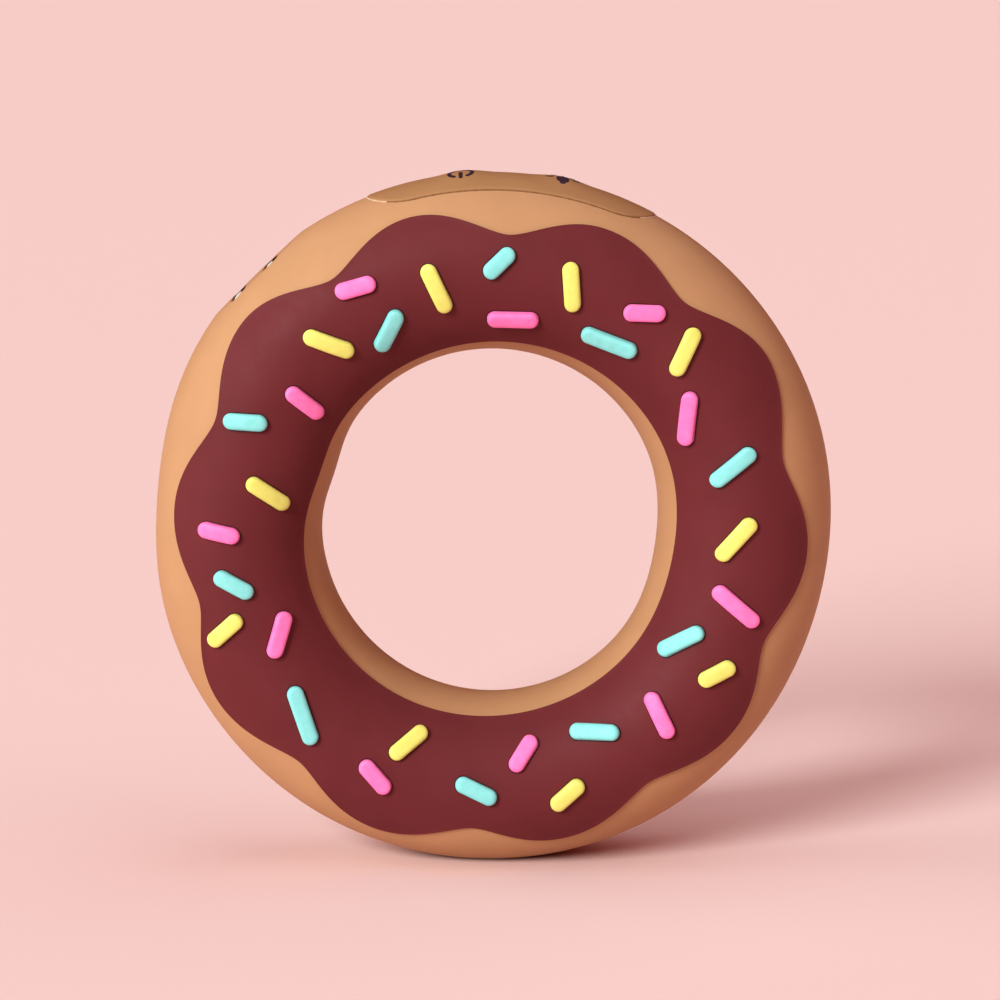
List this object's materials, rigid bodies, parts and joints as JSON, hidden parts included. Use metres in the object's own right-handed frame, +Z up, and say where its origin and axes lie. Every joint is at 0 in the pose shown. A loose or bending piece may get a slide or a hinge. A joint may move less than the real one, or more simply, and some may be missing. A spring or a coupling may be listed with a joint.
{
  "type": "doughnut-shaped power bank",
  "caption": "Soft-plastic power bank shaped like an iced ring doughnut with raised sprinkles, standing on its rim, with a button panel on top and small charging sockets at one side.",
  "frame": {"origin": "centre of the small flat foot under the rim, on the surface that the ring stands on", "axes": "+X to the right of the iced face, -Y out of the iced face, +Z up towards the button panel"},
  "size_m": [0.0988, 0.0274, 0.1016],
  "materials": {
    "tan_plastic": "soft matt",
    "icing_plastic": "soft matt",
    "panel_plastic": "soft matt",
    "socket_steel": "satin",
    "socket_tongue": "smooth",
    "sprinkle_pink": "soft matt",
    "sprinkle_yellow": "soft matt",
    "sprinkle_turquoise": "soft matt",
    "dark_print": "printed ink"
  },
  "bodies": {
    "root": {"body": "tan_plastic", "icing": "icing_plastic", "button_panel": "panel_plastic", "upper_socket_shell": "socket_steel", "upper_socket_tongue": "socket_tongue", "lower_socket_shell": "socket_steel", "lower_socket_tongue": "socket_tongue"}
  },
  "joints": []
}
